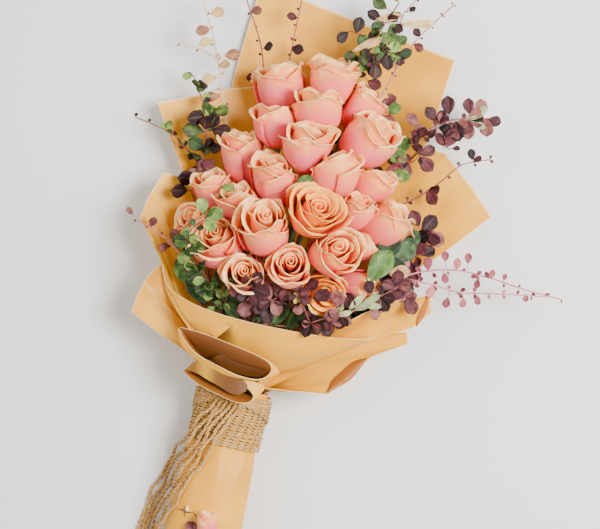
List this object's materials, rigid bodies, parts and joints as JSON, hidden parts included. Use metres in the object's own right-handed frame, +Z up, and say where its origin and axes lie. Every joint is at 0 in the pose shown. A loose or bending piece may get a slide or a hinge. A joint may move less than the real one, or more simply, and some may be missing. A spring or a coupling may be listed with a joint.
{
  "type": "mixed flower bouquet",
  "caption": "Hand-tied rose bouquet with purple-leaved foliage, wrapped in folded kraft paper and bound with jute twine at its neck, lying on its back.",
  "frame": {"origin": "middle of the underside of the box round the bouquet without its twine tails, at the height of the surface it lies on", "axes": "+Y from the handle towards the flowers, +Z up from the surface it lies on, +X to the right when seen from above with the flowers away from the viewer"},
  "size_m": [0.5092, 0.7026, 0.1626],
  "materials": {
    "rose_petals": "matte",
    "rose_stems": "matte",
    "purple_leaves": "matte",
    "green_leaves": "matte",
    "kraft_paper": "matte",
    "jute_twine": "matte"
  },
  "bodies": {
    "root": {"rose_01": "rose_petals", "rose_02": "rose_petals", "rose_03": "rose_petals", "rose_04": "rose_petals", "rose_05": "rose_petals", "rose_06": "rose_petals", "rose_07": "rose_petals", "rose_08": "rose_petals", "rose_09": "rose_petals", "rose_10": "rose_petals", "rose_11": "rose_petals", "rose_12": "rose_petals", "rose_13": "rose_petals", "rose_14": "rose_petals", "rose_15": "rose_petals", "rose_16": "rose_petals", "rose_17": "rose_petals", "rose_18": "rose_petals", "rose_19": "rose_petals", "rose_20": "rose_petals", "rose_21": "rose_petals", "rose_22": "rose_petals", "rose_23": "rose_petals", "rose_24": "rose_petals", "rose_25": "rose_petals", "rose_26": "rose_petals", "rose_stems": "rose_stems", "inner_tie": "jute_twine", "pale_tall_branch": "purple_leaves", "left_dark_branch": "green_leaves", "top_twigs": "purple_leaves", "top_right_branch": "purple_leaves", "top_right_twig": "purple_leaves", "right_purple_branch": "purple_leaves", "right_dark_branch": "green_leaves", "long_pink_sprig": "purple_leaves", "front_purple_branch": "purple_leaves", "front_brown_branch": "purple_leaves", "front_green_branch": "green_leaves", "left_twig": "purple_leaves", "back_sheet_tall": "kraft_paper", "back_sheet_left": "kraft_paper", "back_sheet_right": "kraft_paper", "side_sheet_left": "kraft_paper", "outer_sheet_left": "kraft_paper", "front_sheet": "kraft_paper", "right_roll": "kraft_paper", "bottom_sheet_right": "kraft_paper", "front_pouch": "kraft_paper", "lower_pouch": "kraft_paper", "handle_sleeve": "kraft_paper", "twine_band": "jute_twine", "handle_bud": "rose_petals", "handle_sprig": "purple_leaves", "twine_tail_1": "jute_twine", "twine_tail_2": "jute_twine", "twine_tail_3": "jute_twine", "twine_tail_4": "jute_twine", "twine_tail_5": "jute_twine", "twine_tail_6": "jute_twine"}
  },
  "joints": []
}
